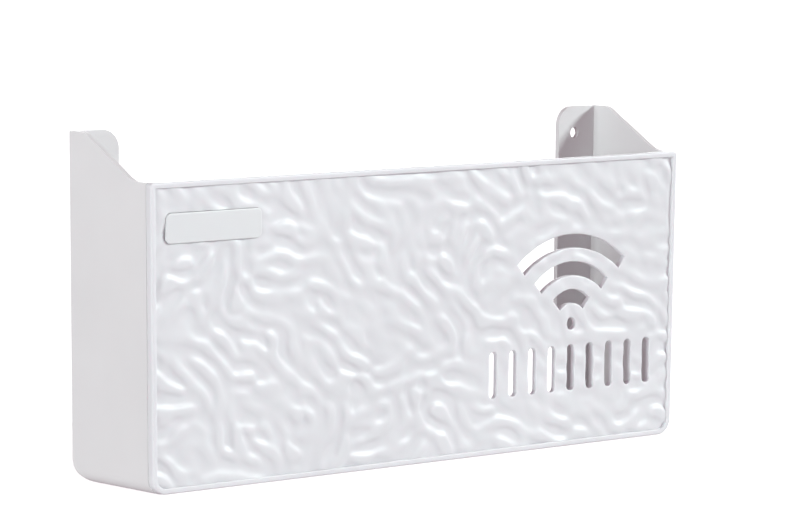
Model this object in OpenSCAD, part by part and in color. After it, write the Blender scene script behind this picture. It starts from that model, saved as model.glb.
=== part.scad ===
// Wall-mounted router storage box, moulded in white ABS.
// Two handed side panels carry the wall flanges and the raised ears, a tray closes the
// bottom, and a rimmed fascia hangs on guide ribs and lifts straight up and off.
// The top and the back are open. X runs left to right, Y runs from the front into the
// wall and Z runs up. The origin is the middle of the underside.

/* [Box] */
// Width over the ears
box_w = 300; // [240:1:360]
// Depth from the rim of the fascia to the wall
box_d = 54; // [48:1:80]
// Height of the fascia and of the front of the side panels
front_h = 127.5; // [110:0.5:160]
// Wall thickness of the mouldings
wall = 2.2; // [1.8:0.1:2.6]
// Inward slope of each side panel from top to bottom
side_draft = 2.1; // [0:0.1:3]
// Outer radius along the foot of each side panel
foot_r = 7; // [5:0.5:9]
// Outer radius of the edge between the underside and the back
heel_r = 10.5; // [5:0.5:11]

/* [Ears and wall flanges] */
// Height of the ears above the fascia
ear_rise = 18; // [10:0.5:30]
// Length of the level top of each ear
ear_flat = 10.5; // [8:0.5:16]
// Slope of the edge that runs down from the ear
ear_slope = 30; // [26:1:45]
// Radius where the ear's top turns into its slope
ear_top_r = 9; // [2:1:12]
// Radius where the slope turns into the level edge
ear_foot_r = 14; // [4:1:20]
// Width of each wall flange, side panel included
flange_w = 24.2; // [22:0.1:30]
// Radius of each flange's upper corner
flange_r = 8.5; // [3:0.5:9]
// Diameter of the holes for the wall screws
wall_hole_d = 5; // [4:0.1:6]
// Distance between the left and right wall holes
wall_hole_span = 271; // [268:1:274]
// Distance between the upper and lower wall holes
wall_hole_rise = 94; // [90:1:112]
// Height of the upper wall holes
wall_hole_top = 133.5; // [130:0.5:134]

/* [Fascia] */
// Width of the raised rim
rim_w = 2.4; // [2:0.1:4]
// Depth of the field below the rim
recess = 1.8; // [1:0.1:2]
// Thickness of the field
field_t = 1.6; // [1.2:0.1:2.4]
// Thickness of the rim where it covers the side panels
rim_t = 3.2; // [2.8:0.1:3.4]
// Radius of the rim's upper corners
rim_top_r = 1.5; // [1:0.5:4]
// Height that the fascia lifts to come clear of the box
lift = 130; // [128:1:160]

/* [Signal cut-outs] */
// Distance of the symbol from the middle of the box
symbol_x = 86.3; // [70:0.1:90]
// Height of the symbol's dot
dot_z = 54.3; // [50:0.1:58]
// Diameter of the dot
dot_d = 5.6; // [4:0.1:7]
// Width of each arc
arc_w = 6.2; // [4:0.1:7]
// Outer radius of the smallest arc
arc_r = 16.4; // [14:0.1:18]
// Growth of the radius from arc to arc
arc_step = 17; // [15:0.5:18]
// Height of the smallest arc's crown above the dot
crown_z = 15.2; // [14:0.1:16]
// Rise of the crown from arc to arc
crown_step = 12.2; // [11:0.1:13]
// Half of the angle that the smallest arc spans
arc_half = 43; // [36:0.5:44]
// Narrowing of that half angle from arc to arc
arc_half_step = 1.4; // [0:0.1:3]
// Number of arcs
arcs = 3; // [1:1:3]

/* [Vent slots in the fascia] */
// Number of slots
slots = 9; // [3:2:9]
// Width of a slot
slot_w = 4.6; // [3:0.1:6]
// Height of a slot
slot_h = 20.4; // [12:0.1:22]
// Distance from slot to slot
slot_pitch = 11.6; // [9:0.1:12]
// Height of the slots' middle
slot_z = 34.8; // [30:0.1:36]

/* [Name plate] */
// Width of the blank plate
plate_w = 50; // [30:1:60]
// Height of the blank plate
plate_h = 12.4; // [8:0.1:16]
// Thickness of the blank plate
plate_t = 1.4; // [0.8:0.1:1.4]
// Corner radius of the plate
plate_r = 2.4; // [0.5:0.1:4]
// Thickness of its adhesive tape
tape_t = 0.3; // [0.1:0.1:0.4]
// Distance of the plate's middle from the left edge
plate_from_left = 33.4; // [32:0.1:60]
// Height of the plate's middle
plate_z = 108.6; // [90:0.1:112]

/* [Bottom tray] */
// Height of the tray's rear lip
lip_h = 12; // [10:0.5:14]
// Number of vent slots in the tray
tray_slots = 13; // [5:2:13]
// Width of a tray slot
tray_slot_w = 5; // [3:0.5:6]
// Length of a tray slot
tray_slot_l = 26; // [16:1:27]
// Width of a cable notch
notch_w = 22; // [12:1:24]
// Distance from each cable notch to the middle
notch_x = 72; // [40:1:90]

/* [Screws] */
// Thread diameter of the tray screws
screw_d = 3; // [2.5:0.1:3.2]
// Length of the tray screws
screw_l = 8; // [6:0.5:9]
// Diameter of their countersunk heads
head_d = 5.8; // [5:0.1:6]
// Diameter of the tray's screw bosses
boss_d = 7; // [6:0.5:8]

/* [Hidden] */
$fn = 96;

gap = 0.3;           // clearance between the fascia and the box
eps = 0.01;          // overlap that keeps a cut or a join from ending on a face
over = 5;            // how far a cutter reaches past the part
box_h = front_h + ear_rise;
y_front = -box_d / 2;
y_back = box_d / 2;

// Ear outline, as points where its straight edges meet
ear_top_y = y_back - ear_flat;
ear_foot_y = ear_top_y - ear_rise / tan(ear_slope);

// Fascia planes, from the front to the back
y_field = y_front + recess;
y_field_back = y_field + field_t;
y_rim_back = y_front + rim_t;
y_panel = y_rim_back + gap;

// Guide: a rib on each side panel, and a hooked rail on the fascia behind it
rib_t = 1.8;
rib_reach = 3;
rail_t = 1.6;
y_rib = y_field_back + gap;
y_hook = y_rib + rib_t + gap;
y_hook_back = y_hook + rail_t;
rail_z = 10;
rail_drop = 3;
rib_drop = 4;
rail_top = front_h - rail_drop;
rib_top = front_h - rib_drop;
side_play = 0.4;
stop_h = 3;
stop_over = 1;

// Tray
lap = wall;
lap_w = 8;
lap_heel = 2;
tray_y = y_rib;
tray_half = box_w / 2 - side_draft - foot_r;
tray_step_x = box_w / 2 - flange_w - gap;
lap_in_x = tray_step_x - lap_w;
lap_back_y = y_back - wall - heel_r + lap_heel;
tray_slot_pitch = 17;
tray_slot_y = -6;
notch_y = 20;

// Tray screws stand in two rows, this far from the middle and at these depths
screw_from_side = 17;
screw_x = box_w / 2 - screw_from_side;
screw_ys = [-13, 12];
screw_tip = 1;
head_h = 1.6;
head_sink = 0.1;
boss_h = 7.5;
pilot_d = screw_d + 0.1;
pilot_h = screw_l + 1;

// Half width of the box at a height
function side_x(z) = box_w / 2 - side_draft * (1 - z / box_h);
// Unit vector at an angle
function unit(a) = [cos(a), sin(a)];

// Piece between a corner and the arc of radius r that is tangent to its edges, which leave
// the corner at angles a and b. Cut away, it rounds the corner; added, it fillets it.
module corner_piece(corner, a, b, r) {
    half = abs(a - b) / 2;
    mid = unit((a + b) / 2);
    centre = corner + mid * r / sin(half);
    reach = r / tan(half);
    difference() {
        polygon([corner - mid, corner + reach * unit(a), centre, corner + reach * unit(b)]);
        translate(centre) circle(r + eps);
    }
}

// Extrudes an outline drawn in X and Z from y0 to y1
module along_y(y0, y1) {
    translate([0, y1, 0]) rotate([90, 0, 0]) linear_extrude(y1 - y0) children();
}

// Extrudes an outline drawn in Y and Z from x0 to x1
module along_x(x0, x1) {
    translate([x0, 0, 0]) rotate([90, 0, 90]) linear_extrude(x1 - x0) children();
}

module rounded_slot(w, l) {
    square([w, l - w], center = true);
    for (s = [-1, 1]) translate([0, s * (l - w) / 2]) circle(d = w);
}

module rounded_rect(w, h, r) {
    square([w - 2 * r, h], center = true);
    square([w, h - 2 * r], center = true);
    for (sx = [-1, 1], sy = [-1, 1]) translate([sx * (w / 2 - r), sy * (h / 2 - r)]) circle(r);
}

// Outline of the right half of the box seen from the front, drawn in by the distance inset
module half_front(inset, top) {
    slope = atan2(side_x(box_h) - side_x(0), box_h);
    low = [side_x(inset) - inset, inset];
    difference() {
        polygon([[0, inset], low, [side_x(top) - inset, top], [0, top]]);
        corner_piece(low, 180, 90 - slope, foot_r - inset);
    }
}

// Outline of the box seen from the side, with the ear
module side_profile() {
    difference() {
        union() {
            polygon([[y_front - over, 0], [y_back, 0], [y_back, box_h], [ear_top_y, box_h],
                     [ear_foot_y, front_h], [y_front - over, front_h]]);
            corner_piece([ear_foot_y, front_h], 180, ear_slope, ear_foot_r);
        }
        corner_piece([ear_top_y, box_h], 360, 180 + ear_slope, ear_top_r);
        corner_piece([y_back, 0], 90, 180, heel_r);
    }
}

// Hollow of the box seen from the side, open at the front and the top
module side_hollow() {
    difference() {
        polygon([[y_front - over, wall], [y_back - wall, wall], [y_back - wall, box_h + over],
                 [y_front - over, box_h + over]]);
        corner_piece([y_back - wall, wall], 90, 180, heel_r - wall);
    }
}

// Part of the side panel that the front view keeps: everything outside the flange's edge
module flange_mask() {
    edge = box_w / 2 - flange_w;
    difference() {
        translate([edge, -over]) square([flange_w + over, box_h + over]);
        corner_piece([edge, box_h], 0, -90, flange_r);
    }
}

module wall_hole(z) {
    translate([wall_hole_span / 2, y_back + over, z]) rotate([90, 0, 0])
        cylinder(h = wall + 2 * over, d = wall_hole_d);
}

// Guide rib with the block that the fascia's rail stands on
module guide_rib() {
    hub = side_x(0) - wall;
    along_y(y_rib, y_rib + rib_t)
        polygon([[side_x(wall) - wall - rib_reach, wall - eps], [side_x(wall) - wall + eps, wall - eps],
                 [side_x(rib_top) - wall + eps, rib_top],
                 [side_x(rib_top) - wall - rib_reach, rib_top - rib_reach]]);
    along_y(y_rib + rib_t - eps, y_hook_back)
        translate([hub - rib_reach - stop_over, rail_z - gap - stop_h])
            square([rib_reach + 2 * stop_over, stop_h]);
}

// Shell of the right side: wall, foot and wall flange in one thickness
module side_shell() {
    difference() {
        intersection() {
            along_y(y_panel, y_back + over) half_front(0, box_h + over);
            along_x(0, box_w) side_profile();
            along_y(y_panel - over, y_back + over) flange_mask();
        }
        intersection() {
            along_y(y_panel - over, y_back) half_front(wall, box_h + over);
            along_x(-over, box_w) side_hollow();
        }
    }
}

module right_side() {
    difference() {
        union() {
            side_shell();
            guide_rib();
        }
        for (k = [0, 1]) wall_hole(wall_hole_top - k * wall_hole_rise);
        for (y = screw_ys) translate([screw_x, y, 0]) screw_clearance();
    }
}

module screw_clearance() {
    translate([0, 0, -over]) cylinder(h = over + 2 * wall, d = screw_d + 2 * gap);
    translate([0, 0, -eps]) cylinder(h = head_h + head_sink, d1 = head_d + gap, d2 = screw_d + gap);
}

module right_side_panel() {
    color("#dcdcdf") right_side();
}

module left_side_panel() {
    color("#dcdcdf") mirror([1, 0, 0]) right_side();
}

// Outline of the fascia, drawn in by the distance inset
module fascia_outline(inset) {
    bottom = gap + inset;
    top = front_h - inset;
    low = [side_x(bottom) - inset, bottom];
    high = [side_x(top) - inset, top];
    slope = atan2(high[0] - low[0], high[1] - low[1]);
    for (s = [0, 1]) mirror([s, 0]) difference() {
        polygon([[-eps, bottom], low, high, [-eps, top]]);
        corner_piece(low, 180, 90 - slope, foot_r - inset);
        if (inset < rim_top_r) corner_piece(high, 180, 270 - slope, rim_top_r);
    }
}

module signal_arc(k) {
    r = arc_r + k * arc_step;
    half = arc_half - k * arc_half_step;
    translate([symbol_x, dot_z + crown_z + k * crown_step - r]) intersection() {
        difference() {
            circle(r);
            circle(r - arc_w);
        }
        polygon([[0, 0], 2 * r * unit(90 + half), 2 * r * unit(90 - half)]);
    }
}

module fascia_cutouts() {
    for (k = [0 : arcs - 1]) signal_arc(k);
    translate([symbol_x, dot_z]) circle(d = dot_d);
    for (k = [0 : slots - 1]) translate([symbol_x + (k - (slots - 1) / 2) * slot_pitch, slot_z])
        rounded_slot(slot_w, slot_h);
}

// Hooked rail of the right side, which runs behind the guide rib
module hook_rail() {
    tip = wall + side_play;
    web = wall + rib_reach + gap;
    along_y(y_field_back - eps, y_hook_back) rail_strip(web, web + rail_t);
    along_y(y_hook, y_hook_back) rail_strip(tip, web + eps);
}

// Strip between two distances from the outside of the side panel
module rail_strip(outer, inner) {
    polygon([[side_x(rail_z) - inner, rail_z], [side_x(rail_z) - outer, rail_z],
             [side_x(rail_top) - outer, rail_top], [side_x(rail_top) - inner, rail_top]]);
}

module front_fascia() {
    color("#e4e4e8") difference() {
        union() {
            along_y(y_front, y_rim_back) fascia_outline(0);
            along_y(y_field, y_field_back) fascia_outline(wall + side_play);
            for (s = [0, 1]) mirror([s, 0, 0]) hook_rail();
        }
        along_y(y_front - over, y_field) fascia_outline(rim_w);
        along_y(y_front - over, y_back) fascia_cutouts();
    }
}

module plate_outline() {
    translate([plate_from_left - box_w / 2, plate_z]) rounded_rect(plate_w, plate_h, plate_r);
}

module name_plate() {
    color("#e1e2e5") along_y(y_field - tape_t - plate_t, y_field - tape_t) plate_outline();
}

module name_plate_tape() {
    tape_margin = 1.5;
    color("#c9c9c2") along_y(y_field - tape_t, y_field)
        translate([plate_from_left - box_w / 2, plate_z])
            square([plate_w - 2 * tape_margin, plate_h - 2 * tape_margin], center = true);
}

// Vent slots and cable notches, seen from above
module tray_openings() {
    for (k = [0 : tray_slots - 1])
        translate([(k - (tray_slots - 1) / 2) * tray_slot_pitch, tray_slot_y])
            rounded_slot(tray_slot_w, tray_slot_l);
    for (s = [-1, 1]) translate([s * notch_x, notch_y]) {
        circle(d = notch_w);
        translate([-notch_w / 2, 0]) square([notch_w, y_back]);
    }
}

// Strip of the tray that laps over the right side panel's foot, with its screw bosses
module tray_lap() {
    translate([lap_in_x, tray_y, wall]) cube([tray_half - lap_in_x, lap_back_y - tray_y, lap]);
    for (y = screw_ys) translate([screw_x, y, wall]) cylinder(h = boss_h, d = boss_d);
}

module bottom_tray() {
    color("#d9d9dc") difference() {
        union() {
            difference() {
                intersection() {
                    along_x(-tray_step_x, tray_step_x) side_profile();
                    translate([-box_w / 2, tray_y, 0]) cube([box_w, box_d, lip_h]);
                }
                along_x(-box_w, box_w) side_hollow();
            }
            for (s = [0, 1]) mirror([s, 0, 0]) tray_lap();
        }
        translate([0, 0, -over]) linear_extrude(lip_h + 2 * over) tray_openings();
        for (sx = [-1, 1], y = screw_ys) translate([sx * screw_x, y, 0])
            cylinder(h = pilot_h, d = pilot_d);
    }
}

// Countersunk self-tapping screw with a cross recess, head down
module tray_screw() {
    recess_l = 3.2;
    recess_t = 0.7;
    translate([0, 0, head_sink]) difference() {
        union() {
            cylinder(h = head_h, d1 = head_d, d2 = screw_d);
            cylinder(h = screw_l - screw_tip, d = screw_d);
            translate([0, 0, screw_l - screw_tip])
                cylinder(h = screw_tip, d1 = screw_d, d2 = screw_d / 2);
        }
        for (a = [0, 90]) rotate(a)
            translate([-recess_l / 2, -recess_t / 2, -eps]) cube([recess_l, recess_t, 1]);
    }
}

module right_screws() {
    color("#b9bcc0") for (y = screw_ys) translate([screw_x, y, 0]) tray_screw();
}

module right_tray_screws() {
    right_screws();
}

module left_tray_screws() {
    mirror([1, 0, 0]) right_screws();
}

front_fascia();
name_plate();
name_plate_tape();
left_side_panel();
right_side_panel();
bottom_tray();
left_tray_screws();
right_tray_screws();
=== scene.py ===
"""Looks of the wall-mounted router box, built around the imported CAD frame.

Lengths are in millimetres until they reach a mesh or a node, where MM turns them into metres.
"""
import math

import bmesh
import bpy
import numpy as np
from mathutils import Matrix, Vector
from mathutils.geometry import delaunay_2d_cdt


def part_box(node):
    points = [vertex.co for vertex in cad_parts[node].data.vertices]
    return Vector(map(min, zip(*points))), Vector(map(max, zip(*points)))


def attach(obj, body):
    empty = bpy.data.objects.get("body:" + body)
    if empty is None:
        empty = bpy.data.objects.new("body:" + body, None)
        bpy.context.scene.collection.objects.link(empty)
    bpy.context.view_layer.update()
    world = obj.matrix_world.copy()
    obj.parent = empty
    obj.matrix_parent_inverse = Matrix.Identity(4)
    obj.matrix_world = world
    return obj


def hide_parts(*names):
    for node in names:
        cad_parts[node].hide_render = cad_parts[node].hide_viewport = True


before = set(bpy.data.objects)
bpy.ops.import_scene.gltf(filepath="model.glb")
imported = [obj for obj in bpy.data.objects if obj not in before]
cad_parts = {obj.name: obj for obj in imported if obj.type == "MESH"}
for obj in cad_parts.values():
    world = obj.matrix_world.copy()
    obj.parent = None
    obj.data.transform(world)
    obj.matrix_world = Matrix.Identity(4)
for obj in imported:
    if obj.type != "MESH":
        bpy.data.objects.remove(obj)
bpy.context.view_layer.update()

MM = 0.001


def millimetres(node):
    """Lowest and highest corner of a CAD node, in millimetres."""
    low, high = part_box(node)
    return np.array(low) / MM, np.array(high) / MM


# ---------------------------------------------------------------- sizes from the frame
FASCIA_LOW, FASCIA_HIGH = millimetres("front_fascia")
PLATE_LOW, PLATE_HIGH = millimetres("name_plate")
BOX_HALF, _, BOX_H = millimetres("right_side_panel")[1]
Y_FRONT = FASCIA_LOW[1]

# ---------------------------------------------------------------- sizes shared with the CAD source
SIDE_DRAFT = 2.1        # how far each side leans in, from the ears down to the foot
FOOT_R = 7.0            # radius of the two lower corners
WALL = 2.2              # wall of the side panels
SIDE_PLAY = 0.4         # room between a side panel and the step behind the rim
RIM_W = 2.4             # width of the rim round the field
RIM_T = 3.2             # depth of the rim
RIM_TOP_R = 1.5         # radius of the two upper corners
RECESS = 1.8            # from the rim's crest back to the field's plane
FIELD_T = 1.6           # thickness of the field
RIB_T = 1.8             # guide rib of a side panel, front to back
RIB_REACH = 3.0         # and how far it stands in from the panel
RAIL_T = 1.6            # thickness of a hooked rail
RAIL_Z = 10.0           # foot of the rails
RAIL_BELOW_TOP = 3.0    # from the fascia's top down to the top of the rails
GAP = 0.3               # room between rib and rail

SYMBOL_X = 86.3         # middle line of the arcs, the dot and the slots
DOT_Z = 54.3
DOT_R = 2.8
ARC_W = 6.2             # width of an arc
ARC_R = 16.4            # outer radius of the smallest arc
ARC_STEP = 17.0         # and how much larger the next one is
CROWN_Z = 15.2          # from the dot up to the crown of the smallest arc
CROWN_STEP = 12.2       # from crown to crown
ARC_HALF = math.radians(43)         # half angle of the smallest arc
ARC_HALF_STEP = math.radians(1.4)   # and how much smaller the next one is
ARCS = 3
SLOTS = 9
SLOT_W = 4.6
SLOT_H = 20.4
SLOT_PITCH = 11.6
SLOT_Z = 34.8           # middle of the slots
PLATE_R = 2.4           # corner radius of the name plate

Y_FIELD = Y_FRONT + RECESS
Y_FIELD_BACK = Y_FIELD + FIELD_T
Y_RIM_BACK = Y_FRONT + RIM_T

# ---------------------------------------------------------------- fascia details
RIM_ROUND = 0.65        # radius along the outer edge of the rim
RIM_CREST = 2.05        # distance from the outside where the rim's level crest ends
RIM_LIP = 0.22          # radius of the rim's inner edge
FOOT_LEAST = 0.3        # smallest radius at the lower corners, however far an outline is drawn in
CUT_ROUND = 0.35        # radius of the edges of the cut-outs
CUT_MIDDLE = 0.12       # place of the middle point on that round
BACK_ROUND = 0.2        # chamfer of the fascia's back edge
BACK_STEP_SLANT = 0.02  # width that the step behind the rim takes up in the outline
SEAM_CLOSE = 0.24       # how much of the CAD's gap behind the rim the finished part closes
LOOP_STEP = 0.8         # spacing of points along an outline
DOT_POINTS = 40
GRID_STEP = 0.72        # spacing of points over the field
ROW_SHARE = 0.866       # row spacing against point spacing, for even triangles
GRID_CLEAR = 0.45       # least distance from an outline to a point, against that spacing
PLATE_MOAT = 0.14       # width of the drop in the relief round the name plate
SHARP_ANGLE = 35        # edges that turn by more degrees than this stay sharp

PANEL_ROUND = 0.32      # radius of the edges of the side panels
TRAY_ROUND = 0.3
TILE_ROUND = 0.45
RAIL_ROUND = 0.2
RAIL_ROOT = 0.3         # how far a rail reaches into the fascia
HOOK_LAP = 0.2          # how far a rail's hook reaches into its web

# ---------------------------------------------------------------- ripples of the relief
RIPPLE_PITCH = 9.3      # distance from ridge to ridge
RIPPLE_SPREAD = 0.34    # how far that distance varies
RIPPLE_REACH = 7.0      # how far a ridge is smeared along its own direction
RIPPLE_TAPS = 9         # samples along that smear
RIPPLE_TAPER = 0.95     # how far the smear's weight has faded at its ends, where 1 is to nothing
RIPPLE_GAIN = 0.7       # how much crests and valleys are evened out
RIPPLE_BLUR = 1.5       # waves shorter than the pitch divided by this fade out
RIPPLE_FLATTEN = 0.6    # how much the tallest ridges are held down
RIPPLE_CELL = 0.8       # cell of the grid that the ripples grow on
RIPPLE_PAD = 16.0       # margin of that grid round the field
RIPPLE_FINER = 2        # how much finer the finished grid is
RIPPLE_SEED = 5
STRENGTH = 0.9          # mean height of the ripples over a patch
STRENGTH_SWING = 0.42   # and how much it drifts from patch to patch
STRENGTH_SIZE = 17      # size of a patch
STRENGTH_LOW, STRENGTH_HIGH = 0.35, 1.45
SWELL_PITCH = 19.0      # distance from swell to swell, under the ripples
SWELL_SPREAD = 0.5      # how far that distance varies
SWELL = 0.35            # height of the swells against the ripples
RIPPLE_LOW = 0.25       # deepest valley, from the field's plane
RIPPLE_HIGH = 1.45      # highest ridge
FLOW_REACH = 7.0        # distance over which a direction holds
FLOW_SWAY = math.radians(22)    # how far the ridges stray from it
FLOW_SWAY_SIZE = 20.0   # and over what distance
FADE_NEAR_CUT = 0.45    # share of the relief's height that is left beside a cut-out
FADE_REACH = 5.0        # distance over which the rest comes back

# Directions of the ripples, read from the real object's relief: distance from the left
# edge, height, and angle in degrees
FLOW = [
    (15, 120, -38), (36, 112, -25), (62, 118, -12), (78, 112, -32), (90, 116, -68),
    (108, 118, -56), (128, 116, -30), (150, 122, -18), (165, 112, 5), (184, 119, -32),
    (205, 119, -45), (235, 118, -5), (255, 112, -15), (270, 118, -58), (287, 118, -58),
    (287, 98, -4), (18, 94, -12), (38, 90, 62), (64, 86, -34), (84, 80, -12),
    (110, 90, -4), (139, 94, 82), (158, 86, -44), (171, 92, 68), (192, 100, -10),
    (210, 90, -5), (34, 64, -62), (55, 66, -30), (92, 66, -6), (122, 60, -28),
    (150, 66, -24), (174, 66, -66), (192, 62, -20), (215, 62, -48), (268, 60, -4),
    (290, 70, -4), (18, 46, -38), (36, 32, -62), (14, 30, -14), (60, 40, -5),
    (80, 40, -34), (93, 38, -68), (110, 40, -52), (127, 38, -20), (160, 32, 4),
    (188, 32, -24), (250, 36, -6), (24, 14, -4), (60, 8, -28), (96, 20, 55),
    (116, 14, -10), (140, 18, 75), (165, 14, -40), (200, 18, -3), (250, 18, 2),
    (285, 30, -20),
]


# ---------------------------------------------------------------- outlines in X and Z
def side_x(z):
    """Half width of the box at a height."""
    return BOX_HALF - SIDE_DRAFT * (1 - z / BOX_H)


def line_points(a, b, step):
    """Points from a up to, and without, b."""
    count = max(1, int(round(np.hypot(*(b - a)) / step)))
    return [a + (b - a) * i / count for i in range(count)]


def rounded_polygon(corners, radii, step):
    """Closed outline through the corners, each rounded by its radius, with a point every step."""
    corners = [np.array(c, float) for c in corners]
    arcs = []
    for i, corner in enumerate(corners):
        before = corners[i - 1] - corner
        after = corners[(i + 1) % len(corners)] - corner
        u, v = before / np.hypot(*before), after / np.hypot(*after)
        half = math.acos(float(np.clip(u @ v, -1, 1))) / 2
        radius = radii[i]
        if radius < 1e-3:
            arcs.append([corner])
            continue
        reach = radius / math.tan(half)
        centre = corner + (u + v) / np.hypot(*(u + v)) * radius / math.sin(half)
        start, end = corner + u * reach - centre, corner + v * reach - centre
        a0 = math.atan2(start[1], start[0])
        turn = math.atan2(end[1], end[0]) - a0
        turn = (turn + math.pi) % (2 * math.pi) - math.pi
        count = max(3, int(math.ceil(abs(turn) * radius / (step / 2))))
        angles = [a0 + turn * k / count for k in range(count + 1)]
        arcs.append([centre + radius * np.array([math.cos(a), math.sin(a)]) for a in angles])
    points = []
    for i, arc in enumerate(arcs):
        points += arc[:-1]
        points += line_points(arc[-1], arcs[(i + 1) % len(arcs)][0], step)
    return np.array(points)


def fascia_outline(inset):
    """Outline of the fascia, drawn in by a distance."""
    low, high = FASCIA_LOW[2] + inset, FASCIA_HIGH[2] - inset
    x_low, x_high = side_x(low) - inset, side_x(high) - inset
    corners = [(-x_low, low), (x_low, low), (x_high, high), (-x_high, high)]
    foot, top = max(FOOT_R - inset, FOOT_LEAST), max(RIM_TOP_R - inset, 0)
    return rounded_polygon(corners, [foot, foot, top, top], LOOP_STEP)


def arc_place(k):
    """Outer radius, centre height and half angle of signal arc k."""
    radius = ARC_R + k * ARC_STEP
    return radius, DOT_Z + CROWN_Z + k * CROWN_STEP - radius, ARC_HALF - k * ARC_HALF_STEP


def arc_outline(k, grow):
    """Outline of signal arc k, grown by a distance."""
    radius, z, half = arc_place(k)
    outer, inner = radius + grow, radius - ARC_W - grow
    half_outer = half + math.asin(grow / outer)
    half_inner = half + math.asin(grow / inner)
    count = int(outer * half_outer * 2 / LOOP_STEP) + 2
    turn_over = np.linspace(-half_outer, half_outer, count)
    turn_under = np.linspace(half_inner, -half_inner, count)
    over = [(math.sin(a) * outer, math.cos(a) * outer) for a in turn_over]
    under = [(math.sin(a) * inner, math.cos(a) * inner) for a in turn_under]
    ends = int(ARC_W / LOOP_STEP)
    right = line_points(np.array(over[-1]), np.array(under[0]), ARC_W / ends)[1:]
    left = line_points(np.array(under[-1]), np.array(over[0]), ARC_W / ends)[1:]
    return np.array([*over, *right, *under, *left]) + (SYMBOL_X, z)


def dot_outline(grow):
    turn = np.linspace(0, 2 * np.pi, DOT_POINTS, endpoint=False)
    return np.column_stack([np.cos(turn), np.sin(turn)]) * (DOT_R + grow) + (SYMBOL_X, DOT_Z)


def slot_x(k):
    return SYMBOL_X + (k - (SLOTS - 1) / 2) * SLOT_PITCH


def slot_outline(k, grow):
    half_w, half_h = SLOT_W / 2 + grow, SLOT_H / 2 + grow
    corners = [(-half_w, -half_h), (half_w, -half_h), (half_w, half_h), (-half_w, half_h)]
    return rounded_polygon(corners, [half_w - 1e-4] * 4, LOOP_STEP) + (slot_x(k), SLOT_Z)


def plate_outline(grow):
    low, high = PLATE_LOW - grow, PLATE_HIGH + grow
    corners = [(low[0], low[2]), (high[0], low[2]), (high[0], high[2]), (low[0], high[2])]
    return rounded_polygon(corners, [PLATE_R + grow] * 4, LOOP_STEP)


def cutout_outlines(grow):
    arcs = [arc_outline(k, grow) for k in range(ARCS)]
    return [*arcs, dot_outline(grow), *[slot_outline(k, grow) for k in range(SLOTS)]]


# ---------------------------------------------------------------- distances in X and Z
def cutout_distance(x, z):
    """Distance to the nearest cut-out, negative inside one."""
    best = np.hypot(x - SYMBOL_X, z - DOT_Z) - DOT_R
    for k in range(SLOTS):
        up = np.maximum(np.abs(z - SLOT_Z) - (SLOT_H - SLOT_W) / 2, 0)
        best = np.minimum(best, np.hypot(x - slot_x(k), up) - SLOT_W / 2)
    for k in range(ARCS):
        radius, centre, half = arc_place(k)
        dx, dz = np.abs(x - SYMBOL_X), z - centre
        away = np.hypot(dx, dz)
        beyond = np.arctan2(dx, dz) - half
        across = np.maximum(away - radius, radius - ARC_W - away)
        along, aside = away * np.cos(beyond), away * np.sin(beyond)
        off = np.maximum(np.maximum(along - radius, radius - ARC_W - along), 0)
        arc = np.where(beyond <= 0, np.maximum(across, aside), np.hypot(off, aside))
        best = np.minimum(best, arc)
    return best


def outline_distance(x, z):
    """Distance in from the fascia's outline, for points away from its corners' outsides."""
    low, high = FASCIA_LOW[2], FASCIA_HIGH[2]
    side, up = side_x(z) - np.abs(x), z - low
    flat = np.minimum(np.minimum(side, up), high - z)
    corner = FOOT_R - np.hypot(FOOT_R - side, FOOT_R - up)
    return np.where((side < FOOT_R) & (up < FOOT_R), corner, flat)


def plate_distance(x, z):
    """Distance out from the name plate's outline, negative under it."""
    centre = (PLATE_LOW + PLATE_HIGH) / 2
    half = (PLATE_HIGH - PLATE_LOW) / 2 - PLATE_R
    dx, dz = np.abs(x - centre[0]) - half[0], np.abs(z - centre[2]) - half[2]
    beyond = np.hypot(np.maximum(dx, 0), np.maximum(dz, 0))
    return beyond + np.minimum(np.maximum(dx, dz), 0) - PLATE_R


# ---------------------------------------------------------------- the relief
def sample(grid, i, j):
    """Grid values at fractional places."""
    i = np.clip(i, 0, grid.shape[0] - 1.001)
    j = np.clip(j, 0, grid.shape[1] - 1.001)
    i0, j0 = i.astype(int), j.astype(int)
    fi, fj = i - i0, j - j0
    near = grid[i0, j0] * (1 - fi) + grid[i0 + 1, j0] * fi
    far = grid[i0, j0 + 1] * (1 - fi) + grid[i0 + 1, j0 + 1] * fi
    return near * (1 - fj) + far * fj


def flow_angle(x, z):
    """Direction of the ripples, blended from the FLOW list."""
    even, odd = np.full(x.shape, 1e-4), np.full(x.shape, -1e-4)
    for fx, fz, angle in FLOW:
        weight = np.exp(-((x - fx) ** 2 + (z - fz) ** 2) / (2 * FLOW_REACH ** 2))
        even = even + weight * math.cos(2 * math.radians(angle))
        odd = odd + weight * math.sin(2 * math.radians(angle))
    return np.arctan2(odd, even) / 2


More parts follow.
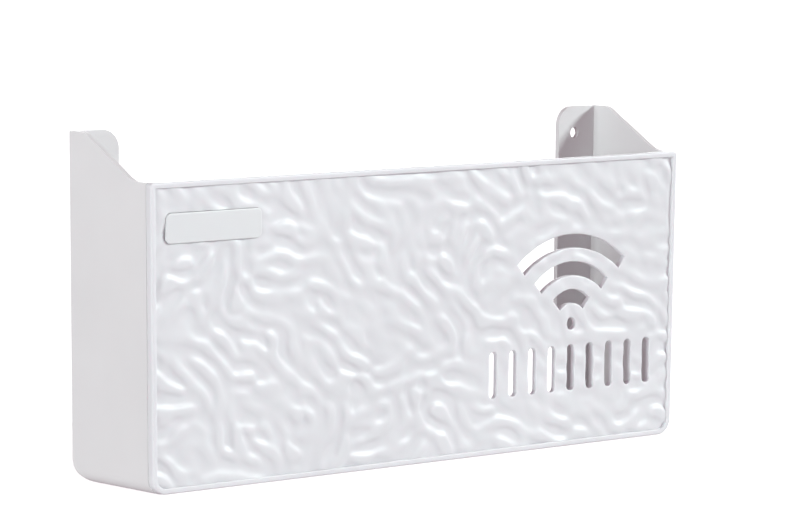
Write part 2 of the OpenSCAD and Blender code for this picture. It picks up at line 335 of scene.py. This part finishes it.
class Ripples:
    """Smooth branching ridges, grown from seeded noise that is smeared along the flow and kept near
    one ridge spacing."""

    def __init__(self):
        cell, pad = RIPPLE_CELL, RIPPLE_PAD
        nx = int((2 * BOX_HALF + 2 * pad) / cell)
        nz = int((FASCIA_HIGH[2] + 2 * pad) / cell)
        x = -pad + cell * np.arange(nx)[:, None] + np.zeros((nx, nz))
        z = -pad + cell * np.arange(nz)[None, :] + np.zeros((nx, nz))
        rng = np.random.default_rng(RIPPLE_SEED)
        wave = np.hypot(np.fft.fftfreq(nx, cell)[:, None], np.fft.rfftfreq(nz, cell)[None, :])

        def filtered(grid, band):
            return np.fft.irfft2(np.fft.rfft2(grid) * band, s=grid.shape)

        def smooth_noise(size):
            noise = filtered(rng.standard_normal((nx, nz)), np.exp(-2 * (wave * size) ** 2))
            return noise / noise.std()

        angle = flow_angle(x, z) + FLOW_SWAY * smooth_noise(FLOW_SWAY_SIZE)
        step_i, step_j = np.cos(angle) * RIPPLE_REACH / cell, np.sin(angle) * RIPPLE_REACH / cell
        i, j = np.meshgrid(np.arange(nx), np.arange(nz), indexing="ij")
        ring = np.exp(-((wave * RIPPLE_PITCH - 1) / RIPPLE_SPREAD) ** 2 / 2)
        grid = rng.standard_normal((nx, nz))
        smeared = sum(
            math.cos(s * math.pi / 2 * RIPPLE_TAPER) * sample(grid, i + s * step_i, j + s * step_j)
            for s in np.linspace(-1, 1, RIPPLE_TAPS)
        )
        grid = filtered(smeared, ring)
        grid = np.tanh(RIPPLE_GAIN * grid / grid.std())
        grid = filtered(grid, np.exp(-(wave * RIPPLE_PITCH / RIPPLE_BLUR) ** 2 / 2))
        drift = STRENGTH + STRENGTH_SWING * smooth_noise(STRENGTH_SIZE)
        strength = np.clip(drift, STRENGTH_LOW, STRENGTH_HIGH)
        broad = np.exp(-((wave * SWELL_PITCH - 1) / SWELL_SPREAD) ** 2 / 2)
        swell = filtered(rng.standard_normal((nx, nz)), broad)
        grid = grid / grid.std() * strength + SWELL * swell / swell.std()
        grid = np.tanh(RIPPLE_FLATTEN * grid)
        self.grid = self.refined(grid, RIPPLE_FINER)
        self.cell = cell / RIPPLE_FINER

    @staticmethod
    def refined(grid, times):
        """The same waves on a finer grid."""
        nx, nz = grid.shape
        spectrum = np.fft.fftshift(np.fft.fft2(grid))
        wide = np.zeros((nx * times, nz * times), complex)
        i0, j0 = (nx * times - nx) // 2, (nz * times - nz) // 2
        i0 += (nx * times // 2) - (i0 + nx // 2)
        j0 += (nz * times // 2) - (j0 + nz // 2)
        wide[i0:i0 + nx, j0:j0 + nz] = spectrum
        return np.fft.ifft2(np.fft.ifftshift(wide)).real * times * times

    def height(self, x, z):
        """Height over the field's plane at places given from the middle of the box."""
        i = (x + BOX_HALF + RIPPLE_PAD) / self.cell
        j = (z + RIPPLE_PAD) / self.cell
        wave = np.clip(sample(self.grid, i, j), -1, 1)
        middle, swing = (RIPPLE_HIGH + RIPPLE_LOW) / 2, (RIPPLE_HIGH - RIPPLE_LOW) / 2
        near = np.exp(-np.maximum(cutout_distance(x, z), 0) / FADE_REACH)
        swing = swing * (1 - (1 - FADE_NEAR_CUT) * near)
        height = middle + swing * wave
        under_plate = np.clip(1 - plate_distance(x, z) / PLATE_MOAT, 0, 1)
        return height * (1 - under_plate)


# ---------------------------------------------------------------- meshes
def triangulate(loops, loose, keep):
    """Triangles over closed loops and loose points. keep(x, z) says which triangles stay.
    Returns the triangles and, for each point, where CDT put it."""
    points = np.concatenate([*loops, loose]) if len(loose) else np.concatenate(loops)
    edges, start = [], 0
    for loop in loops:
        count = len(loop)
        edges += [(start + i, start + (i + 1) % count) for i in range(count)]
        start += count
    coords = [Vector((float(x), float(z))) for x, z in points]
    out, _, faces, origins, _, _ = delaunay_2d_cdt(coords, edges, [], 0, 1e-5, True)
    source = np.array([o[0] for o in origins])
    place = np.zeros(len(points), int)
    for index, origin in enumerate(origins):
        place[origin] = source[index]
    triangles = source[np.array(faces)]
    centres = points[triangles].mean(axis=1)
    kept = triangles[keep(centres[:, 0], centres[:, 1])]
    return points, kept, place


def add_object(name, vertices, faces, smooth=True):
    """Makes an object from vertices in millimetres, with outward normals and sharp edges marked."""
    mesh = bpy.data.meshes.new(name)
    corners = [tuple(int(i) for i in face) for face in faces]
    mesh.from_pydata((np.asarray(vertices) * MM).tolist(), [], corners)
    clean(mesh)
    if smooth:
        mesh.polygons.foreach_set("use_smooth", [True] * len(mesh.polygons))
        mesh.set_sharp_from_angle(angle=math.radians(SHARP_ANGLE))
    piece = bpy.data.objects.new(name, mesh)
    bpy.context.scene.collection.objects.link(piece)
    return piece


def clean(mesh):
    """Drops loose points and turns every face outwards."""
    work = bmesh.new()
    work.from_mesh(mesh)
    bmesh.ops.delete(work, geom=[v for v in work.verts if not v.link_faces], context="VERTS")
    bmesh.ops.recalc_face_normals(work, faces=work.faces)
    work.to_mesh(mesh)
    work.free()


def rim_profile():
    """Distance in from the outside and depth, from the fascia's outer edge to the foot of the rim."""
    turns = np.linspace(0, math.pi / 2, 7)
    outer = [
        (RIM_ROUND * (1 - math.cos(t)), Y_FRONT + RIM_ROUND * (1 - math.sin(t)))
        for t in turns
    ]
    inner = [
        (RIM_CREST + RIM_LIP * math.sin(t), Y_FRONT + RIM_LIP * (1 - math.cos(t)))
        for t in np.linspace(0, math.pi / 2, 4)
    ]
    return outer + inner


def cut_depth(grow):
    """How far the rounded edge of a cut-out has dropped at a distance from the cut."""
    return CUT_ROUND - math.sqrt(CUT_ROUND ** 2 - (CUT_ROUND - grow) ** 2)


def fascia_front(ripples):
    """Points, triangles and the loops that the edges are joined to."""
    rims = rim_profile()
    loops = [fascia_outline(inset) for inset, _ in rims]
    depths = [np.full(len(loop), y) for loop, (_, y) in zip(loops, rims)]
    foot = fascia_outline(RIM_W)
    loops.append(foot)
    depths.append(Y_FIELD - ripples.height(foot[:, 0], foot[:, 1]))
    first_cut = len(loops)
    for grow in (0.0, CUT_MIDDLE, CUT_ROUND):
        for loop in cutout_outlines(grow):
            loops.append(loop)
            depths.append(Y_FIELD - ripples.height(loop[:, 0], loop[:, 1]) + cut_depth(grow))
    for grow in (0.0, PLATE_MOAT):
        loop = plate_outline(grow)
        loops.append(loop)
        depths.append(Y_FIELD - ripples.height(loop[:, 0], loop[:, 1]))
    loose = field_points()
    depths.append(Y_FIELD - ripples.height(loose[:, 0], loose[:, 1]))
    points, triangles, place = triangulate(loops, loose, lambda x, z: cutout_distance(x, z) > 0)
    starts = np.cumsum([0] + [len(loop) for loop in loops])
    cuts = range(first_cut, first_cut + ARCS + 1 + SLOTS)
    rows = [place[starts[i]:starts[i + 1]] for i in [0, *cuts]]
    vertices = np.column_stack([points[:, 0], np.concatenate(depths), points[:, 1]])
    return vertices, triangles, rows


def field_points():
    """Staggered points over the field, clear of the outlines."""
    clear = GRID_STEP * GRID_CLEAR
    rows = np.arange(FASCIA_LOW[2], FASCIA_HIGH[2], GRID_STEP * ROW_SHARE)
    columns = np.arange(-BOX_HALF, BOX_HALF, GRID_STEP)
    x = columns[None, :] + GRID_STEP / 2 * (np.arange(len(rows))[:, None] % 2)
    z = rows[:, None] + 0 * x
    x, z = x.ravel(), z.ravel()
    inside = outline_distance(x, z) > RIM_W + clear
    outside = cutout_distance(x, z) > CUT_ROUND + clear
    plate = plate_distance(x, z)
    off_plate = (plate < -clear) | (plate > PLATE_MOAT + clear)
    good = inside & outside & off_plate
    return np.column_stack([x[good], z[good]])


def fascia_back():
    """The flat back, with the step behind the rim."""
    step = WALL + SIDE_PLAY
    loops = [fascia_outline(inset) for inset in (0, BACK_ROUND, step, step + BACK_STEP_SLANT)]
    first_cut = len(loops)
    back = Y_RIM_BACK + SEAM_CLOSE
    planes = [back - BACK_ROUND, back, back, Y_FIELD_BACK]
    depths = [np.full(len(loop), y) for loop, y in zip(loops, planes)]
    for loop in cutout_outlines(0.0):
        loops.append(loop)
        depths.append(np.full(len(loop), Y_FIELD_BACK))
    points, triangles, place = triangulate(loops, [], lambda x, z: cutout_distance(x, z) > 0)
    starts = np.cumsum([0] + [len(loop) for loop in loops])
    rows = [place[starts[i]:starts[i + 1]] for i in [0, *range(first_cut, len(loops))]]
    vertices = np.column_stack([points[:, 0], np.concatenate(depths), points[:, 1]])
    return vertices, triangles, rows


def build_fascia():
    """The fascia as one closed shell: its front, its back, and the walls between them."""
    front, front_faces, front_rows = fascia_front(Ripples())
    back, back_faces, back_rows = fascia_back()
    faces = [tuple(f) for f in front_faces]
    faces += [tuple(f) for f in back_faces + len(front)]
    for a, b in zip(front_rows, back_rows):
        b = b + len(front)
        n = len(a)
        faces += [(a[i], a[(i + 1) % n], b[(i + 1) % n], b[i]) for i in range(n)]
    return add_object("fascia_shell", np.concatenate([front, back]), faces)


def prism_along_y(name, outline, y0, y1):
    """Solid with an outline in X and Z between two depths."""
    n = len(outline)
    vertices = [(x, y0, z) for x, z in outline] + [(x, y1, z) for x, z in outline]
    faces = [tuple(range(n)), tuple(range(2 * n - 1, n - 1, -1))]
    faces += [(i, (i + 1) % n, n + (i + 1) % n, n + i) for i in range(n)]
    return add_object(name, vertices, faces, smooth=False)


def soften(piece, width, segments=3, angle=30):
    """Rounds the piece's sharp edges with a bevel, shaded smooth with its flat faces kept flat."""
    bevel = piece.modifiers.new("round edges", "BEVEL")
    bevel.width = width * MM
    bevel.segments = segments
    bevel.limit_method = "ANGLE"
    bevel.angle_limit = math.radians(angle)
    bevel.use_clamp_overlap = True
    flat = piece.modifiers.new("flat faces", "WEIGHTED_NORMAL")
    flat.weight = 100
    flat.keep_sharp = True
    piece.data.polygons.foreach_set("use_smooth", [True] * len(piece.data.polygons))
    return piece


def join(name, pieces):
    """One object out of several, with their modifiers applied."""
    graph = bpy.context.evaluated_depsgraph_get()
    work = bmesh.new()
    for piece in pieces:
        mesh = bpy.data.meshes.new_from_object(piece.evaluated_get(graph))
        work.from_mesh(mesh)
    for piece in pieces:
        bpy.data.objects.remove(piece)
    mesh = bpy.data.meshes.new(name)
    work.to_mesh(mesh)
    work.free()
    mesh.polygons.foreach_set("use_smooth", [True] * len(mesh.polygons))
    mesh.set_sharp_from_angle(angle=math.radians(SHARP_ANGLE))
    joined = bpy.data.objects.new(name, mesh)
    bpy.context.scene.collection.objects.link(joined)
    return joined


def build_hook_rails():
    """The hooked rails behind the fascia's two ends."""
    top = FASCIA_HIGH[2] - RAIL_BELOW_TOP
    y_hook = Y_FIELD_BACK + GAP + RIB_T + GAP
    tip, web = WALL + SIDE_PLAY, WALL + RIB_REACH + GAP
    strips = [
        (web, web + RAIL_T, Y_FIELD_BACK - RAIL_ROOT, y_hook + RAIL_T),
        (tip, web + HOOK_LAP, y_hook, y_hook + RAIL_T),
    ]
    made = []
    for side in (-1, 1):
        for outer, inner, y0, y1 in strips:
            outline = [
                (side * (side_x(z) - inset), z)
                for z, inset in ((RAIL_Z, inner), (RAIL_Z, outer), (top, outer), (top, inner))
            ]
            strip = prism_along_y(f"strip{len(made)}", outline, y0, y1)
            made.append(soften(strip, RAIL_ROUND, 2))
    bpy.context.view_layer.update()
    return join("fascia_hook_rails", made)


def rounded_copy(node, name, width):
    """A copy of a CAD node with its flat faces merged and its sharp edges rounded."""
    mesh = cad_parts[node].data.copy()
    mesh.name = name
    mesh.materials.clear()
    work = bmesh.new()
    work.from_mesh(mesh)
    bmesh.ops.remove_doubles(work, verts=work.verts, dist=1e-6)
    bmesh.ops.dissolve_limit(
        work, angle_limit=math.radians(0.4), verts=work.verts, edges=work.edges)
    work.to_mesh(mesh)
    work.free()
    piece = bpy.data.objects.new(name, mesh)
    bpy.context.scene.collection.objects.link(piece)
    return soften(piece, width)


def build_name_tile():
    """The blank raised tile, with well rounded edges."""
    tile = prism_along_y("name_tile", plate_outline(0.0), PLATE_LOW[1], PLATE_HIGH[1])
    return soften(tile, TILE_ROUND, 4, angle=50)


# ---------------------------------------------------------------- materials
# Texture scales are in waves per metre, and bump depths in metres
DRIFT_SCALE = 22.0      # slow drift of colour
WEAR_SCALE = 90.0       # uneven gloss
SKIN_SCALE = 420.0      # orange peel
SKIN_DEPTH = 0.00008
GRAIN_SCALE = 2600.0
GRAIN_DEPTH = 0.00003
STREAK_SCALE = 1500.0   # streaks on the screws
DRIFT_LOW, DRIFT_HIGH = 0.3, 0.7
GLOSS_SWING = 0.05
SCATTER = 1.4           # how far light travels under the surface
SCATTER_COLOUR = (1.0, 0.9, 0.93)
STEEL_DARK, STEEL_LIGHT = (0.48, 0.49, 0.51), (0.66, 0.67, 0.68)
STEEL_ROUGH_LOW, STEEL_ROUGH_HIGH = 0.25, 0.45


def node(tree, kind, **inputs):
    """Adds a shader node, with its input sockets set by name."""
    made = tree.nodes.new(kind)
    for name, value in inputs.items():
        made.inputs[name.replace("_", " ")].default_value = value
    return made


def plastic(name, light, dark, roughness, peel, grain, depth):
    """Moulded plastic: slight colour drift, uneven gloss, orange peel and a fine grain. depth is the
    share of the colour that comes from light scattered under the surface."""
    material = bpy.data.materials.new(name)
    material.use_nodes = True
    tree = material.node_tree
    shader = tree.nodes["Principled BSDF"]
    shader.inputs["Specular IOR Level"].default_value = 0.5
    shader.inputs["IOR"].default_value = 1.5
    shader.inputs["Subsurface Weight"].default_value = depth
    shader.inputs["Subsurface Radius"].default_value = SCATTER_COLOUR
    shader.inputs["Subsurface Scale"].default_value = SCATTER * MM
    where = tree.nodes.new("ShaderNodeTexCoord").outputs["Object"]

    drift = node(tree, "ShaderNodeTexNoise", Scale=DRIFT_SCALE, Detail=2.0)
    tree.links.new(where, drift.inputs["Vector"])
    tone = tree.nodes.new("ShaderNodeValToRGB")
    tone.color_ramp.elements[0].color = (*dark, 1)
    tone.color_ramp.elements[1].color = (*light, 1)
    tone.color_ramp.elements[0].position = DRIFT_LOW
    tone.color_ramp.elements[1].position = DRIFT_HIGH
    tree.links.new(drift.outputs["Fac"], tone.inputs["Fac"])
    tree.links.new(tone.outputs["Color"], shader.inputs["Base Color"])

    wear = node(tree, "ShaderNodeTexNoise", Scale=WEAR_SCALE, Detail=3.0)
    tree.links.new(where, wear.inputs["Vector"])
    gloss = tree.nodes.new("ShaderNodeMapRange")
    gloss.inputs["To Min"].default_value = roughness - GLOSS_SWING
    gloss.inputs["To Max"].default_value = roughness + GLOSS_SWING
    tree.links.new(wear.outputs["Fac"], gloss.inputs["Value"])
    tree.links.new(gloss.outputs["Result"], shader.inputs["Roughness"])

    skin = node(tree, "ShaderNodeTexNoise", Scale=SKIN_SCALE, Detail=1.0)
    fine = node(tree, "ShaderNodeTexNoise", Scale=GRAIN_SCALE, Detail=2.0)
    for texture in (skin, fine):
        tree.links.new(where, texture.inputs["Vector"])
    first = node(tree, "ShaderNodeBump", Strength=peel, Distance=SKIN_DEPTH)
    second = node(tree, "ShaderNodeBump", Strength=grain, Distance=GRAIN_DEPTH)
    tree.links.new(skin.outputs["Fac"], first.inputs["Height"])
    tree.links.new(fine.outputs["Fac"], second.inputs["Height"])
    tree.links.new(first.outputs["Normal"], second.inputs["Normal"])
    tree.links.new(second.outputs["Normal"], shader.inputs["Normal"])
    return material


def steel():
    """Zinc-plated screw steel with turned streaks."""
    material = bpy.data.materials.new("zinc_steel")
    material.use_nodes = True
    tree = material.node_tree
    shader = tree.nodes["Principled BSDF"]
    shader.inputs["Metallic"].default_value = 1.0
    where = tree.nodes.new("ShaderNodeTexCoord").outputs["Object"]
    streaks = node(tree, "ShaderNodeTexNoise", Scale=STREAK_SCALE, Detail=3.0)
    tree.links.new(where, streaks.inputs["Vector"])
    tone = tree.nodes.new("ShaderNodeValToRGB")
    tone.color_ramp.elements[0].color = (*STEEL_DARK, 1)
    tone.color_ramp.elements[1].color = (*STEEL_LIGHT, 1)
    tree.links.new(streaks.outputs["Fac"], tone.inputs["Fac"])
    tree.links.new(tone.outputs["Color"], shader.inputs["Base Color"])
    gloss = tree.nodes.new("ShaderNodeMapRange")
    gloss.inputs["To Min"].default_value = STEEL_ROUGH_LOW
    gloss.inputs["To Max"].default_value = STEEL_ROUGH_HIGH
    tree.links.new(streaks.outputs["Fac"], gloss.inputs["Value"])
    tree.links.new(gloss.outputs["Result"], shader.inputs["Roughness"])
    return material


# Each has its light and dark tone, roughness, strength of peel and grain, and depth
FASCIA_ABS = plastic("fascia_abs", (0.775, 0.778, 0.80), (0.75, 0.752, 0.775), 0.45, 0.15, 0.10, 0.8)
PANEL_ABS = plastic("panel_abs", (0.775, 0.768, 0.775), (0.75, 0.743, 0.75), 0.52, 0.2, 0.25, 0.2)
TRAY_ABS = plastic("tray_abs", (0.78, 0.78, 0.79), (0.75, 0.75, 0.765), 0.45, 0.2, 0.25, 0.2)
PLATE_ABS = plastic("name_plate_abs", (0.78, 0.79, 0.80), (0.76, 0.77, 0.785), 0.40, 0.1, 0.2, 0.5)
FOAM = plastic("foam_tape", (0.62, 0.62, 0.58), (0.55, 0.55, 0.51), 0.85, 0.2, 1.0, 0.2)
STEEL = steel()


def dress(piece, material, body=None, stands_for=()):
    """Gives a piece its material and, for one made here, its body and the CAD nodes it replaces."""
    piece.data.materials.clear()
    piece.data.materials.append(material)
    if body:
        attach(piece, body)
    if stands_for:
        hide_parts(*stands_for)
    return piece


# ---------------------------------------------------------------- the object
dress(build_fascia(), FASCIA_ABS, "fascia", ["front_fascia"])
dress(build_hook_rails(), FASCIA_ABS, "fascia")
dress(build_name_tile(), PLATE_ABS, "fascia", ["name_plate"])
for side in ("left", "right"):
    node_name = f"{side}_side_panel"
    shell = rounded_copy(node_name, f"{side}_side_shell", PANEL_ROUND)
    dress(shell, PANEL_ABS, "box", [node_name])
    dress(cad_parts[f"{side}_tray_screws"], STEEL)
tray = rounded_copy("bottom_tray", "tray_shell", TRAY_ROUND)
dress(tray, TRAY_ABS, "box", ["bottom_tray"])
dress(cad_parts["name_plate_tape"], FOAM)

# ---------------------------------------------------------------- floor, light and camera
FLOOR_HALF = 15000.0
FLOOR_WHITE = 0.9
FLOOR_ROUGH = 0.9
FLOOR_GLOW = 0.6        # the light it gives off by itself, so that it stays white all over
LAMP_TINT = (0.885, 1.0, 0.975)
BACK_TINT = (0.93, 1.0, 0.985)
STUDIO_TINT = (1.0, 0.57, 0.71)     # light from all round, which shows in the shadows
STUDIO_LIGHT = 0.23


def build_floor():
    """A white floor that gives no shadow, gloss or colour to the object."""
    corners = np.array([(-1, -1, 0), (1, -1, 0), (1, 1, 0), (-1, 1, 0)]) * FLOOR_HALF
    floor = add_object("floor", corners, [(0, 1, 2, 3)], smooth=False)
    paint = bpy.data.materials.new("floor_paint")
    paint.use_nodes = True
    shader = paint.node_tree.nodes["Principled BSDF"]
    shader.inputs["Base Color"].default_value = (FLOOR_WHITE, FLOOR_WHITE, FLOOR_WHITE, 1)
    shader.inputs["Roughness"].default_value = FLOOR_ROUGH
    shader.inputs["Emission Color"].default_value = (1, 1, 1, 1)
    shader.inputs["Emission Strength"].default_value = FLOOR_GLOW
    floor.visible_diffuse = False
    floor.visible_glossy = False
    floor.visible_shadow = False
    floor.data.materials.append(paint)


def sun(name, azimuth, elevation, spread, strength, tint):
    """Soft light from an azimuth right of the front and an elevation, all in degrees."""
    a, e = math.radians(azimuth), math.radians(elevation)
    data = bpy.data.lights.new(name, "SUN")
    data.angle = math.radians(spread)
    data.energy = strength
    data.color = tint
    lamp = bpy.data.objects.new(name, data)
    place = Vector((math.sin(a) * math.cos(e), -math.cos(a) * math.cos(e), math.sin(e)))
    lamp.location = place
    lamp.rotation_euler = (-place).to_track_quat("-Z", "Y").to_euler()
    bpy.context.scene.collection.objects.link(lamp)


build_floor()
sun("key", 50, 22, 12, 2.97, LAMP_TINT)
sun("left", -84, 12, 36, 2.22, LAMP_TINT)
sun("bounce", -30, -42, 60, 1.2, LAMP_TINT)
sun("back", 143, 8, 40, 2.0, BACK_TINT)

world = bpy.data.worlds.new("studio")
world.use_nodes = True
sky = world.node_tree.nodes["Background"]
sky.inputs["Color"].default_value = (*STUDIO_TINT, 1)
sky.inputs["Strength"].default_value = STUDIO_LIGHT
bpy.context.scene.world = world
bpy.context.scene.view_settings.view_transform = "Standard"

CAMERA_PLACE = (-1205.0, -1368.0, 270.0)
CAMERA_YAW = math.radians(41.57)
CAMERA_PITCH = math.radians(5.8)
CAMERA_ROLL = math.radians(0.54)
CAMERA_LENS = 191.5
CAMERA_SENSOR = 36.0
CAMERA_NEAR, CAMERA_FAR = 0.05, 60.0    # metres


def build_camera():
    """The camera, looking ahead at its yaw right of straight on and its pitch down."""
    ahead = Vector((
        math.sin(CAMERA_YAW) * math.cos(CAMERA_PITCH),
        math.cos(CAMERA_YAW) * math.cos(CAMERA_PITCH),
        -math.sin(CAMERA_PITCH),
    ))
    level = Vector((math.cos(CAMERA_YAW), -math.sin(CAMERA_YAW), 0))
    up = level.cross(ahead)
    right = math.cos(CAMERA_ROLL) * level + math.sin(CAMERA_ROLL) * up
    up = math.cos(CAMERA_ROLL) * up - math.sin(CAMERA_ROLL) * level
    data = bpy.data.cameras.new("camera")
    data.lens = CAMERA_LENS
    data.sensor_width = CAMERA_SENSOR
    data.clip_start, data.clip_end = CAMERA_NEAR, CAMERA_FAR
    camera = bpy.data.objects.new("camera", data)
    turn = Matrix((right, up, -ahead)).transposed().to_4x4()
    camera.matrix_world = Matrix.Translation(Vector(CAMERA_PLACE) * MM) @ turn
    bpy.context.scene.collection.objects.link(camera)
    bpy.context.scene.camera = camera


build_camera()
